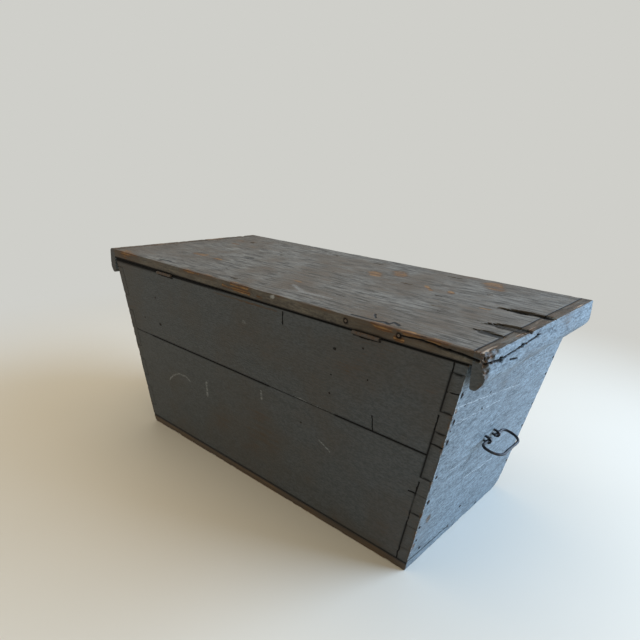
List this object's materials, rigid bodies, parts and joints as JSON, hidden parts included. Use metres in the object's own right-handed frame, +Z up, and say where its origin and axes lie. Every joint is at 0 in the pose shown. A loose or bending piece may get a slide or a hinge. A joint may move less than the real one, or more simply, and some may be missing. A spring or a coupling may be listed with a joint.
{
  "type": "trunk",
  "caption": "Long low storage trunk of painted boards with sides that splay outwards, dovetailed corners, a hinged lid with end strips and iron bail handles.",
  "frame": {"origin": "centre of the trunk's foot, on the surface that it stands on", "axes": "+Z up, +X along the trunk to the right seen from its front, hinges at the back on the +Y side"},
  "size_m": [0.991, 0.4792, 0.4425],
  "materials": {
    "case_wood": "worn blue-grey milk paint over pine, matt",
    "lid_wood": "worn blue-grey milk paint over pine, rubbed to bare wood at the edges",
    "bare_wood": "bare aged pine, dull",
    "hinge_iron": "dull brown rusted iron",
    "handle_iron": "dark wrought iron with a brown patina",
    "nail_iron": "dull iron"
  },
  "bodies": {
    "case": {"back_board_lower": "case_wood", "back_board_upper": "case_wood", "bottom_board_back": "bare_wood", "bottom_board_front": "bare_wood", "bottom_nails": "nail_iron", "front_board_lower": "case_wood", "front_board_upper": "case_wood", "hinge_case_leaf_left": "hinge_iron", "hinge_case_leaf_right": "hinge_iron", "hinge_case_screws_left": "hinge_iron", "hinge_case_screws_right": "hinge_iron", "hinge_pin_left": "hinge_iron", "hinge_pin_right": "hinge_iron", "left_board_lower": "case_wood", "left_board_upper": "case_wood", "left_corner_nails": "nail_iron", "left_handle_staples": "handle_iron", "right_board_lower": "case_wood", "right_board_upper": "case_wood", "right_corner_nails": "nail_iron", "right_handle_staples": "handle_iron"},
    "lid": {"hinge_lid_leaf_left": "hinge_iron", "hinge_lid_leaf_right": "hinge_iron", "hinge_lid_screws_left": "hinge_iron", "hinge_lid_screws_right": "hinge_iron", "lid_board": "lid_wood", "lid_nails_left": "nail_iron", "lid_nails_right": "nail_iron", "lid_strip_left": "lid_wood", "lid_strip_right": "lid_wood"},
    "left_bail": {"left_handle_bail": "handle_iron"},
    "right_bail": {"right_handle_bail": "handle_iron"}
  },
  "joints": [
    {"name": "lid_hinge", "type": "hinge", "parent": "case", "child": "lid", "pos_m": [0, 0.2332, 0.4183], "axis": [-1, 0, 0], "range_deg": [0, 110]},
    {"name": "left_handle", "type": "hinge", "parent": "case", "child": "left_bail", "pos_m": [-0.43744, 0.015, 0.21643], "axis": [0, 1, 0], "range_deg": [-96, 97]},
    {"name": "right_handle", "type": "hinge", "parent": "case", "child": "right_bail", "pos_m": [0.43744, 0.015, 0.21643], "axis": [0, -1, 0], "range_deg": [-96, 97]}
  ]
}
